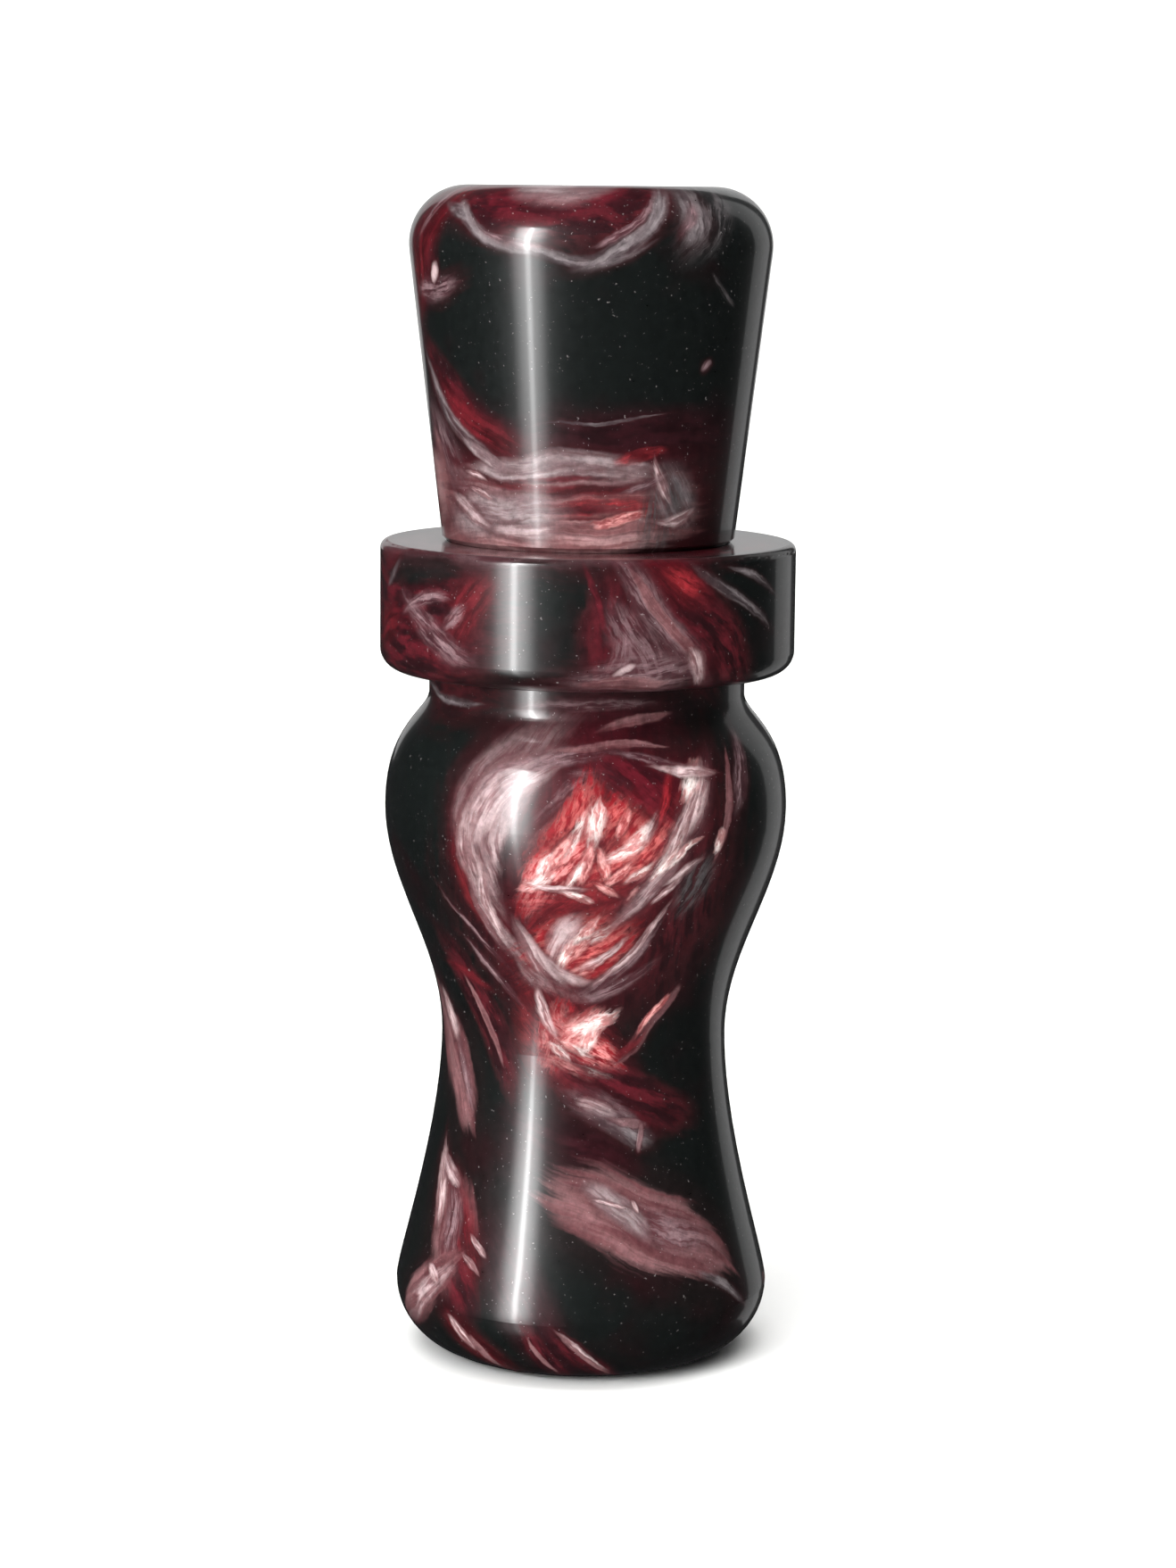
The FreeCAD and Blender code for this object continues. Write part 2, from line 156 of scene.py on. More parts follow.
# A colour of the resin: its body, the fibres in it, how soft its edge is (0 to 1), the shape of its
# sides (1 is a leaf, 2 an oval), how far its fibres fray the edge, how much crimson bleeds from it, how
# clear it is between its fibres, and its grain: the fibres to a millimetre, along and across.
Pigment = namedtuple("Pigment", "body fibre edge sides fray halo gaps grain")
HALO_COLOUR = (0.040, 0.0032, 0.0060, 1)
HALO_REACH = 3.5
GRAIN_DETAIL = 2.0
GRAIN_ROUGHNESS = 0.6
GRAIN_LACUNARITY = 2.4
FIBRES_FROM = 0.36
FIBRES_FULL = 0.66

# Grains.
COARSE = (0.22, 0.9)
LONG = (0.09, 1.1)
FINE = (0.26, 2.0)
SOFT = (0.16, 1.1)
SHORT = (0.55, 2.0)

BLACK = Pigment((0.0040, 0.0055, 0.0052), (0.007, 0.0085, 0.0085), 0.6, 2, 1.0, 0, 0, COARSE)
SMOKE = Pigment((0.022, 0.018, 0.019), (0.070, 0.062, 0.064), 0.9, 2, 2.0, 0, 0.7, FINE)
WINE = Pigment((0.011, 0.0022, 0.0034), (0.024, 0.0040, 0.0065), 0.95, 2, 1.5, 0, 0, COARSE)
CRIMSON = Pigment((0.020, 0.0028, 0.0048), (0.085, 0.0065, 0.012), 0.9, 2, 2.0, 0, 0.2, COARSE)
RED = Pigment((0.085, 0.004, 0.007), (0.26, 0.016, 0.022), 0.9, 2, 2.2, 0.3, 0.3, FINE)
FLAME = Pigment((0.34, 0.013, 0.019), (0.80, 0.28, 0.27), 0.7, 2, 2.4, 0.6, 0.3, SHORT)
SALMON = Pigment((0.34, 0.060, 0.062), (0.74, 0.34, 0.32), 0.7, 2, 2.4, 0.5, 0.4, SHORT)
ROSE = Pigment((0.115, 0.042, 0.046), (0.19, 0.092, 0.096), 0.35, 1.5, 1.2, 0.12, 0.0, LONG)
MAUVE = Pigment((0.070, 0.028, 0.034), (0.20, 0.125, 0.135), 0.8, 1.5, 2.4, 0.3, 0.6, FINE)
PEARL = Pigment((0.24, 0.125, 0.130), (0.62, 0.47, 0.47), 0.8, 1.5, 2.6, 0.4, 0.45, FINE)
GLINT = Pigment((0.60, 0.28, 0.27), (0.95, 0.84, 0.80), 0.8, 1.6, 3.4, 0.1, 0.6, SHORT)
ASH = Pigment((0.060, 0.046, 0.050), (0.17, 0.145, 0.15), 0.8, 1.5, 1.6, 0.2, 0.5, SOFT)
SATIN = Pigment((0.17, 0.088, 0.094), (0.42, 0.31, 0.315), 0.9, 2, 1.2, 0.5, 0.25, SOFT)
DUSK = Pigment((0.13, 0.080, 0.085), (0.25, 0.195, 0.20), 0.8, 2, 1.0, 0.4, 0.15, SOFT)
RUBY = Pigment((0.032, 0.0022, 0.0038), (0.105, 0.0065, 0.011), 0.95, 2, 1.4, 0.3, 0.1, SOFT)
EMBER = Pigment((0.30, 0.010, 0.016), (0.62, 0.14, 0.13), 0.7, 2, 2.4, 0.6, 0.3, SHORT)
PINK_BAND = Pigment((0.21, 0.085, 0.088), (0.42, 0.24, 0.24), 0.5, 3, 1.5, 0.5, 0.05, LONG)

# The stirring: waves to a millimetre, and millimetres; a slow one and a quick one. Sideways and upwards
# are read a step apart in the same noise.
STIRS = ((0.13, 2.4), (1.4, 0.25))
STIR_START = (31.0, 5.0)
STIR_STEP = 17.0

# How far below a top face the height starts to run on inward, and where it does so fully; and the
# radius inside which a degree is taken to be no narrower. All in millimetres.
TURN_INWARD = (0.3, 0.1)
LEAST_RADIUS = 5.0

# Faint wine haze in the black, mottling of the whole resin, and pale specks in it.
HAZE_SCALE = 0.09
MOTTLE_SCALE = 1.3
MOTTLE_SHADE = (1.5, 0.25)
MOTTLE_ROUGHNESS = (0.2, 0.22)
SPECK_SCALE = 3.4
SPECK_COLOUR = (0.42, 0.38, 0.38, 1)
SPECK_STRENGTH = 0.30

Ribbon = namedtuple("Ribbon", "angle height tilt half_length half_width bend pigment taper", defaults=(0,))

# Ribbons of pigment, each over the ones before it: angle, height, tilt up from the horizontal in
# degrees, half length, half width and bend (how its middle line curves, in 1/mm), and the pigment. Some
# have a taper last: above 0 the far end is narrower, below 0 the near end.
STOPPER_RIBBONS = [
    # The bowl of arcs at the rim.
    (-16, 106.5, 0, 11.0, 5.2, 0, CRIMSON),
    (-20, 105.0, -12, 6.0, 0.8, 0.03, CRIMSON),
    (1, 104.6, 22, 4.4, 0.6, 0.02, CRIMSON),
    (-12, 107.0, 0, 4.4, 2.6, 0, DUSK),
    (-38, 102.0, -25, 5.2, 0.50, 0.02, ASH),
    (-24, 101.0, -12, 3.0, 0.30, 0.02, MAUVE),
    (-2, 99.9, 2, 5.6, 0.45, 0.035, ASH),
    (14, 101.9, 38, 5.0, 0.80, 0.03, ASH),
    (21, 103.9, 55, 2.6, 0.6, 0.0, ASH),
    (12, 102.9, 36, 3.4, 0.3, 0.03, MAUVE),
    # Haze on the right shoulder.
    (42, 104.5, 55, 5.5, 2.6, 0, SMOKE),
    (35, 103.4, 70, 2.6, 1.2, 0, ASH),
    (33, 103.2, 50, 1.6, 0.4, 0, MAUVE),
    (47, 97.4, -40, 1.8, 0.3, 0, SMOKE),
    # The red arc at the left edge.
    (-68, 101.0, 75, 6.5, 3.0, 0.03, CRIMSON),
    (-62, 102.8, 60, 4.6, 1.8, 0.02, RUBY),
    (-66, 103.6, 60, 3.0, 0.6, 0.02, MAUVE),
    (-70, 99.0, 80, 4.0, 1.4, 0.03, RUBY),
    (-60, 97.3, 6, 3.6, 1.0, 0.02, MAUVE),
    (-58, 98.8, 70, 0.8, 0.5, 0, SATIN),
    (-50, 103.3, -20, 2.4, 0.35, 0, ASH),
    (42, 90.7, 60, 0.6, 0.4, 0, MAUVE),
    # The lower band, from the pale ribbon down to the foot.
    (15, 84.4, 0, 13.0, 2.6, 0, WINE),
    (-54, 87.4, -36, 7.5, 2.2, 0.02, CRIMSON),
    (-44, 85.6, -28, 5.0, 1.3, 0.02, RUBY),
    (-26, 77.8, 0, 14.5, 4.0, 0.003, PINK_BAND),
    (-64, 82.0, -55, 5.6, 2.2, 0, MAUVE),
    (-66, 80.0, -70, 4.6, 1.2, 0, ROSE),
    (-58, 86.0, -42, 6.4, 0.7, 0.03, ASH),
    (-12, 82.0, 0, 9.5, 1.20, -0.010, DUSK),
    (-24, 81.4, 2, 5.0, 0.60, 0.01, DUSK),
    (6, 82.2, -4, 4.4, 0.50, -0.01, DUSK),
    (-40, 82.8, -22, 3.0, 0.50, 0.02, DUSK),
    (-24, 79.4, 3, 8.0, 0.8, 0.01, MAUVE),
    (-8, 80.0, -2, 8.0, 0.40, 0.01, RUBY),
    (6, 78.2, 0, 5.0, 1.3, 0, RED),
    (4, 77.0, 3, 5.2, 0.6, 0, PINK_BAND),
    (11, 77.6, 10, 2.4, 0.4, 0, SALMON),
    (-6, 78.3, 2, 4.0, 0.35, 0, CRIMSON),
    (-12, 80.9, 0, 4.6, 0.25, 0, CRIMSON),
    (-36, 77.4, 5, 6.0, 2.0, 0, DUSK),
    (-24, 76.2, 5, 3.0, 0.6, 0, SATIN),
    (-45, 80.9, -12, 1.3, 0.25, 0, PEARL),
    (-43, 79.3, -12, 1.3, 0.25, 0, PEARL),
    (-50, 77.6, -30, 2.6, 0.6, 0, SATIN),
    (18, 82.7, 10, 2.6, 0.5, 0, RED),
    (26, 78.0, 80, 3.6, 2.0, 0, SMOKE),
    (33, 79.4, -55, 2.6, 2.0, 0, ASH),
    (27, 80.4, -62, 1.6, 0.5, 0.1, PEARL),
    (34, 77.6, 20, 1.9, 0.45, 0.1, PEARL),
    (33, 79.6, -60, 1.4, 0.9, 0, SMOKE),
    (20, 80.4, 16, 2.2, 0.35, 0, MAUVE),
    (6, 86.0, 4, 4.6, 0.16, 0.004, ASH),
    # The back.
    (-110, 79.0, 4, 10.0, 3.4, 0, PINK_BAND),
    (-118, 84.0, 22, 8.0, 0.7, 0.02, PEARL),
    (-105, 78.0, 0, 6.0, 0.9, 0, RED),
    (140, 96.0, 35, 9.0, 2.6, 0.02, ROSE),
    (150, 92.5, 35, 9.0, 1.2, 0.02, CRIMSON),
    (175, 84.0, -40, 7.0, 1.8, -0.03, FLAME),
    (185, 86.5, -40, 6.0, 0.5, -0.03, PEARL),
    (105, 84.0, 65, 6.5, 1.0, 0.02, MAUVE),
    (215, 101.0, -10, 9.0, 2.2, 0.02, CRIMSON),
    (222, 100.0, -10, 6.0, 0.6, 0.02, ASH),
]

BARREL_RIBBONS = [
    # Collar, left: a dark red field with a pink eye.
    (-64, 68.5, 0, 12.5, 8.0, 0, CRIMSON),
    (-74, 67.0, 20, 4.0, 1.6, 0, RUBY),
    (-52, 72.9, 3, 6.0, 1.4, 0, BLACK),
    (-66, 72.6, 42, 1.6, 0.4, 0, ASH),
    (-34, 69.8, 55, 3.4, 1.6, 0, RUBY),
    (-47, 67.4, -32, 4.6, 1.0, 0.03, MAUVE),
    (-52, 68.6, -34, 2.2, 0.5, 0.03, MAUVE),
    (-49, 70.1, 14, 3.0, 0.6, -0.05, MAUVE),
    (-38, 68.8, 40, 1.6, 0.6, 0, MAUVE),
    (-44, 69.3, 0, 1.5, 0.7, 0, WINE),
    # Collar, right of the black middle: a pale diagonal and a red patch.
    (6, 68.0, 85, 5.5, 2.6, 0, CRIMSON),
    (13, 66.4, -62, 4.6, 2.0, 0, MAUVE),
    (7, 65.6, 75, 2.6, 1.0, 0, MAUVE),
    (1.5, 71.0, -72, 3.0, 0.30, 0, CRIMSON),
    (33, 68.0, -50, 8.0, 2.8, 0, CRIMSON),
    (24, 72.8, -35, 3.6, 1.5, 0, RUBY),
    (19.5, 69.4, -53, 7.0, 1.2, 0.004, MAUVE),
    (21, 69.0, -53, 5.6, 0.6, 0.004, ROSE),
    (30, 65.0, -60, 1.6, 0.6, 0, PEARL),
    (12, 64.2, 4, 5.4, 1.8, 0, MAUVE),
    (10, 63.8, 2, 4.0, 0.6, 0, ROSE),
    (8, 65.0, 30, 0.9, 0.3, 0, SATIN),
    (26, 72.6, -30, 2.0, 0.9, 0, RED),
    (42, 70.8, -32, 5.2, 0.45, 0.01, ASH),
    (50, 72.3, -20, 3.2, 0.30, 0, ASH),
    # The collar's top face.
    (-30, 77.0, 0, 22.0, 2.6, 0, MAUVE),
    (40, 77.6, 0, 16.0, 2.2, 0, CRIMSON),
    # Groove.
    (8, 60.5, 0, 6.5, 2.8, 0, WINE),
    (2, 61.4, 0, 5.5, 0.5, 0, MAUVE),
    (18, 59.8, 10, 3.5, 0.5, 0, ROSE),
    (-62, 61.4, 0, 5.0, 0.3, 0, ASH),
    # Bulb: the dark red field, the pale crescent and the lines outside it.
    (4, 46.5, 86, 12.0, 13.0, 0, CRIMSON),
    (-34, 47.5, 92, 8.0, 1.6, -0.04, RED),
    (-29, 49.4, 92, 8.6, 2.4, -0.045, SATIN, -0.45),
    (-32, 49.5, 92, 6.0, 1.1, -0.045, SATIN),
    (-34, 48.5, 94, 4.4, 1.0, -0.045, PEARL),
    (-24, 54.4, 48, 5.0, 1.6, -0.05, SATIN),
    (-10, 57.0, 12, 6.0, 0.75, -0.02, MAUVE),
    (8, 57.9, 0, 5.0, 0.35, -0.01, ROSE),
    (-27, 40.6, -58, 5.0, 0.9, 0.03, SATIN),
    (-30, 43.6, -80, 3.4, 0.5, 0.03, PEARL),
    (-38, 40.6, -50, 4.2, 0.25, 0.01, MAUVE),
    (-21, 46.0, 86, 5.5, 1.4, -0.04, WINE),
    # The hood over the flame.
    (-14, 48.6, 74, 6.4, 0.7, -0.05, ROSE),
    (-5, 54.6, 32, 3.6, 0.6, -0.06, MAUVE),
    (5, 55.4, -18, 3.0, 0.5, -0.06, MAUVE),
    (10, 52.6, -62, 3.0, 0.45, -0.03, ROSE),
    # The flame.
    (1, 46.0, 76, 8.2, 5.2, 0, RED),
    (-4, 49.2, 74, 5.8, 2.6, 0, EMBER, 0.3),
    (5, 49.0, 60, 5.6, 2.8, -0.03, EMBER),
    (-10, 46.6, 55, 4.4, 2.0, -0.03, FLAME),
    (14, 48.0, 42, 6.0, 2.6, 0.02, EMBER),
    (3, 44.0, 10, 6.2, 1.9, 0.02, RED),
    (16, 45.2, 42, 5.0, 1.6, 0, RED),
    (-10, 42.6, 36, 3.2, 0.9, 0, RED),
    (2.0, 51.6, 78, 1.6, 0.75, 0, GLINT),
    (1, 50.2, 84, 2.2, 0.45, 0.05, GLINT),
    (-4, 50.4, 66, 2.2, 0.40, -0.03, GLINT),
    (-8, 49.0, 60, 2.0, 0.45, -0.03, SALMON),
    (-12, 47.6, 66, 1.8, 0.40, -0.03, GLINT),
    (-14, 46.0, 30, 1.6, 0.55, 0.05, GLINT),
    (-9, 45.4, -8, 2.2, 0.35, 0.05, PEARL),
    (-1, 47.8, 72, 2.0, 0.50, 0, SALMON),
    (4, 47.6, 104, 1.8, 0.45, 0, SALMON),
    (-4, 46.8, 58, 1.4, 0.35, 0, GLINT),
    (10, 49.2, 30, 2.2, 0.55, 0, GLINT),
    (14, 50.6, 40, 1.9, 0.50, 0, GLINT),
    (18, 51.6, 56, 1.8, 0.45, 0, PEARL),
    (9, 51.4, 62, 1.3, 0.35, 0, SALMON),
    (8, 46.8, 52, 1.8, 0.40, 0, SALMON),
    (14, 47.2, 40, 1.6, 0.35, 0, GLINT),
    (-3, 44.6, -16, 1.4, 0.30, 0, GLINT),
    (5, 45.2, -34, 1.2, 0.32, 0, SALMON),
    (12, 44.8, 64, 1.1, 0.30, 0, SALMON),
    (17, 45.6, 48, 1.3, 0.32, 0, PEARL),
    # The cluster below it.
    (-3, 39.8, 24, 5.0, 2.8, 0, EMBER),
    (-7, 40.8, 60, 2.4, 1.0, -0.06, SATIN),
    (0, 41.4, 52, 1.8, 0.45, 0, GLINT),
    (4, 41.4, 34, 1.8, 0.45, 0, GLINT),
    (-3, 39.6, 44, 2.0, 0.45, 0, SALMON),
    (-6, 39.0, 66, 1.6, 0.40, 0, GLINT),
    (2, 38.6, 34, 2.0, 0.45, 0.04, SALMON),
    (7, 39.6, 38, 2.0, 0.35, 0.04, PEARL),
    (-8, 37.8, -24, 2.8, 0.6, 0.08, SATIN),
    (-15, 38.4, -52, 3.6, 0.8, 0.05, SATIN),
    (-9, 36.2, -16, 3.6, 0.6, 0.05, SATIN),
    (3, 35.9, 6, 5.6, 0.8, 0.05, MAUVE),
    (13, 38.4, 42, 4.6, 0.6, 0.03, MAUVE),
    (17, 40.2, 50, 4.0, 0.3, 0.02, PEARL),
    # The pale diagonal at its right, and the dark pocket in the corner.
    (17, 54.0, -40, 4.6, 2.0, 0, CRIMSON),
    (25, 48.8, 58, 7.6, 1.5, 0.01, MAUVE),
    (20, 46.0, 48, 4.2, 0.7, 0.0, SATIN),
    (24, 49.0, 52, 2.8, 0.7, 0.0, GLINT),
    (27, 51.0, 60, 3.0, 0.6, 0.01, PEARL),
    (32, 53.0, 70, 3.0, 0.9, 0, PEARL),
    (31, 54.8, 60, 1.5, 0.7, 0, GLINT),
    (24, 56.2, -14, 4.0, 0.4, 0, MAUVE),
    (30, 55.6, -6, 2.6, 0.4, 0, PEARL),
    (21, 53.0, 64, 2.6, 0.4, 0, RED),
    (28, 48.6, 36, 2.0, 0.35, 0, GLINT),
    (22, 47.8, 44, 1.6, 0.35, 0, GLINT),
    (29, 46.9, 30, 2.0, 0.35, 0, PEARL),
    (24, 45.2, 40, 1.8, 0.30, 0, PEARL),
    (34, 45.6, 60, 3.0, 1.6, 0, SMOKE),
    (43, 52.5, 76, 4.4, 0.40, 0, ROSE),
    (51, 55.6, 62, 3.4, 0.7, 0, MAUVE),
    (40, 49.8, 80, 1.2, 0.4, 0, GLINT),
    # Waist.
    (-42, 33.0, -62, 8.0, 1.8, 0, CRIMSON),
    (-42, 32.4, -64, 4.4, 0.4, 0, ROSE),
    (-48, 36.6, -20, 2.6, 0.5, 0, RUBY),
    (-33, 37.0, -44, 3.6, 0.3, 0, MAUVE),
    (-63, 28.4, -57, 7.4, 1.9, 0, ROSE),
    (-66, 31.6, -60, 2.6, 0.7, 0, PEARL),
    (-53, 26.4, -62, 3.0, 0.5, 0, MAUVE),
    (-6, 31.4, -50, 5.0, 3.6, 0, RED),
    (-9, 31.6, 80, 3.2, 1.8, 0, FLAME),
    (1, 31.0, -38, 3.8, 1.6, 0, FLAME),
    (1, 32.6, 40, 2.4, 1.3, 0, SALMON),
    (5, 33.2, 20, 2.2, 0.7, 0, GLINT),
    (3, 31.8, 66, 1.6, 0.6, 0, GLINT),
    (-2, 30.6, -30, 1.5, 0.4, 0, GLINT),
    (-8, 30.0, -50, 1.6, 0.5, 0, GLINT),
    (-5, 28.6, -30, 2.2, 0.5, 0, SALMON),
    (4, 28.2, -24, 1.7, 0.4, 0, GLINT),
    (-13, 34.0, -70, 2.2, 0.5, 0, PEARL),
    (26, 32.2, 50, 4.2, 0.6, 0, ROSE),
    (19, 30.6, 40, 2.0, 0.5, 0, RUBY),
    (28, 33.4, 52, 1.8, 0.3, 0, SALMON),
    (16, 26.4, -25, 7.6, 2.2, 0, CRIMSON),
    (8, 24.6, -26, 3.4, 1.3, 0, MAUVE),
    (5, 25.0, -20, 1.5, 0.6, 0, SATIN),
    (15, 23.4, -22, 3.0, 1.0, 0, ASH),
    (17, 23.8, -10, 1.5, 0.3, 0, SATIN),
    (22, 22.6, 80, 0.9, 0.3, 0, SATIN),
    (-2, 22.0, -20, 6.0, 1.4, 0, WINE),
    # Flared mouth end.
    (-16, 7.0, -60, 9.0, 2.6, 0, WINE),
    (23, 14.6, -28, 10.0, 3.3, -0.004, ROSE, 0.25),
    (25, 14.8, -29, 6.4, 1.2, 0, MAUVE),
    (12, 16.4, -36, 3.2, 1.1, 0, DUSK),
    (50, 8.0, -34, 3.4, 0.4, 0, ASH),
    (8, 17.0, -10, 1.3, 0.16, 0, PEARL),
    (17, 16.8, -60, 0.6, 0.22, 0, PEARL),
    (-49, 13.0, -76, 5.6, 3.0, 0, ROSE),
    (-43, 13.0, -66, 4.4, 1.5, 0, RUBY),
    (-50, 13.6, -80, 3.4, 1.2, 0, MAUVE),
    (-60, 17.0, -84, 3.2, 0.8, 0, PEARL),
    (-55, 18.2, -40, 1.6, 0.7, 0, SATIN),
    (-42, 8.6, -50, 3.4, 1.6, 0, CRIMSON),
    (-36, 12.2, -40, 1.2, 0.30, 0, PEARL),
    (-38, 10.4, -35, 1.2, 0.30, 0, PEARL),
    (-57, 7.2, 44, 5.6, 1.8, 0, ROSE),
    (-58, 6.4, 44, 4.2, 0.9, 0, SATIN),
    (-54, 8.6, -30, 1.0, 0.5, 0, PEARL),
    (-66, 5.0, 30, 2.2, 0.7, 0, ROSE),
    (-34, 3.2, -38, 4.0, 1.2, 0, RUBY),
    (-32, 2.8, -50, 1.8, 0.4, 0, ROSE),
    (-39, 4.2, -46, 1.8, 0.4, 0, PEARL),
    (-12, 3.2, -60, 4.0, 1.0, 0, CRIMSON),
    (-13, 3.2, -60, 2.4, 0.30, 0, ROSE),
    (3, 2.6, -42, 4.4, 1.0, 0, CRIMSON),
    (1, 3.7, -42, 2.6, 0.30, 0, PEARL),
    (5, 2.4, -44, 2.0, 0.25, 0, ROSE),
    # The back.
    (150, 16.0, 34, 10.0, 2.8, -0.01, ROSE),
    (165, 12.0, 34, 8.0, 1.0, 0, CRIMSON),
    (215, 24.0, -50, 9.0, 1.8, 0.02, MAUVE),
    (178, 46.0, 82, 11.0, 10.0, 0, CRIMSON),
    (160, 48.0, 88, 8.5, 1.8, -0.05, PEARL),
    (185, 44.5, 80, 8.0, 3.8, 0, FLAME),
    (190, 44.0, 50, 5.0, 2.0, 0, FLAME),
    (183, 48.0, 60, 3.2, 0.8, 0, GLINT),
    (120, 40.0, -62, 7.0, 1.0, 0.02, ROSE),
    (130, 69.0, -35, 9.0, 1.6, 0, MAUVE),
    (110, 70.0, 10, 6.0, 3.0, 0, CRIMSON),
    (205, 68.0, 40, 7.0, 1.8, 0, RED),
    (208, 68.6, 42, 5.0, 0.6, 0, PEARL),
    (240, 34.0, 65, 6.0, 0.8, 0, PEARL),
    (100, 22.0, -70, 6.0, 1.2, 0, MAUVE),
    (235, 6.0, 15, 7.0, 1.6, 0, CRIMSON),
    (95, 5.0, -20, 5.0, 1.2, 0, ROSE),
]


GROUP_INPUTS = [
    ("Place", "NodeSocketVector"),
    ("Scale", "NodeSocketFloat"),
    ("Centre", "NodeSocketVector"),
    ("Direction", "NodeSocketVector"),
    ("Side", "NodeSocketVector"),
    ("Bend", "NodeSocketFloat"),
    ("Taper", "NodeSocketFloat"),
    ("Edge", "NodeSocketFloat"),
    ("Sides", "NodeSocketFloat"),
    ("Fray", "NodeSocketFloat"),
    ("Halo", "NodeSocketFloat"),
    ("Gaps", "NodeSocketFloat"),
    ("Grain", "NodeSocketVector"),
    ("Seed", "NodeSocketVector"),
    ("Body", "NodeSocketColor"),
    ("Fibre", "NodeSocketColor"),
    ("Below", "NodeSocketColor"),
]
GROUP_OUTPUTS = [("Colour", "NodeSocketColor"), ("Place", "NodeSocketVector")]
NOTHING = (1e-9, 1e-9, 1e-9)


def ribbon_group():
    """One ribbon of pigment with fibres along it, laid over the colour below.

    Place is (angle, height), and Scale the millimetres to a degree. Direction and Side are divided by the
    half length and half width, so that the ribbon's tips and edges are 1 away from its centre. The place
    handed on is the one given, plus next to nothing of the colour: the next ribbon then has to wait for
    this one, and the renderer holds only one ribbon's values at a time.
    """
    tree = bpy.data.node_groups.new("ribbon", "ShaderNodeTree")
    for name, kind in GROUP_INPUTS:
        tree.interface.new_socket(name, in_out="INPUT", socket_type=kind)
    for name, kind in GROUP_OUTPUTS:
        tree.interface.new_socket(name, in_out="OUTPUT", socket_type=kind)
    g = Graph(tree)
    given = g.node("NodeGroupInput").outputs
    away = g.vector("SUBTRACT", given["Place"], given["Centre"])
    turn = g.math("WRAP", g.part(away, "x"), 180.0, -180.0)
    offset = g.join(g.math("MULTIPLY", turn, given["Scale"]), g.part(away, "y"))
    along = g.vector("DOT_PRODUCT", offset, given["Direction"])
    across = g.vector("DOT_PRODUCT", offset, given["Side"])
    end = g.math("MULTIPLY", along, along)
    straight = g.math("SUBTRACT", across, g.math("MULTIPLY", given["Bend"], end))
    grain_place = g.vector("MULTIPLY_ADD", g.join(along, straight), given["Grain"], given["Seed"])
    grain_inputs = {
        "Vector": grain_place,
        "Scale": 1.0,
        "Detail": GRAIN_DETAIL,
        "Roughness": GRAIN_ROUGHNESS,
        "Lacunarity": GRAIN_LACUNARITY,
    }
    streak = g.node("ShaderNodeTexNoise", grain_inputs, noise_dimensions="2D").outputs["Fac"]
    narrowing = g.math("MULTIPLY_ADD", along, given["Taper"], 1.0)
    side = g.math("POWER", g.math("ABSOLUTE", g.math("MULTIPLY", straight, narrowing)), given["Sides"])
    frayed = g.math("MULTIPLY_ADD", g.math("SUBTRACT", streak, 0.5), given["Fray"], end)
    reach = g.math("ADD", side, frayed)
    cover = g.smooth(reach, g.math("ADD", 1.0, given["Edge"]), g.math("SUBTRACT", 1.0, given["Edge"]))
    fibres = g.smooth(streak, FIBRES_FROM, FIBRES_FULL)
    solid = g.math("MULTIPLY_ADD", fibres, given["Gaps"], g.math("SUBTRACT", 1.0, given["Gaps"]))
    own = g.mix(fibres, given["Body"], given["Fibre"])
    around = g.smooth(reach, HALO_REACH, 1.0, 0.0, given["Halo"])
    below = g.mix(around, given["Below"], HALO_COLOUR)
    colour = g.mix(g.math("MULTIPLY", cover, solid), below, own)
    place = g.vector("MULTIPLY_ADD", colour, NOTHING, given["Place"])
    g.node("NodeGroupOutput", {"Colour": colour, "Place": place})
    return tree


def surface_place(g, top, top_radius):
    """The shaded point in millimetres, its gently stirred angle and height, and millimetres to a degree.

    Over the flat top face the height goes on rising towards the middle, so that ribbons run over the edge.
    """
    point = g.vector("MULTIPLY", g.object_point(), (1 / MM, 1 / MM, 1 / MM))
    x, y, z = g.split(point)
    angle = g.math("DEGREES", g.math("ARCTAN2", x, g.math("MULTIPLY", y, -1.0)))
    radius = g.vector("LENGTH", g.join(x, y))
    inward = g.math("MAXIMUM", g.math("SUBTRACT", top_radius, radius), 0.0)
    on_top = g.smooth(z, top - TURN_INWARD[0], top - TURN_INWARD[1])
    height = g.math("MULTIPLY_ADD", inward, on_top, z)
    per_degree = g.math("MULTIPLY", g.math("MAXIMUM", radius, LEAST_RADIUS), math.radians(1.0))
    sideways, upwards = 0.0, height
    for scale, size in STIRS:
        waves = []
        for axis in range(2):
            moved = g.vector("ADD", point, (STIR_START[0], STIR_STEP * axis, STIR_START[1]))
            wave = g.math("SUBTRACT", g.noise(moved, scale, 1.0, 0.4), 0.5)
            waves.append(g.math("MULTIPLY", wave, size))
        sideways = g.math("ADD", sideways, waves[0])
        upwards = g.math("ADD", upwards, waves[1])
    turned = g.math("ADD", angle, g.math("DIVIDE", sideways, per_degree))
    return point, g.join(turned, upwards), per_degree


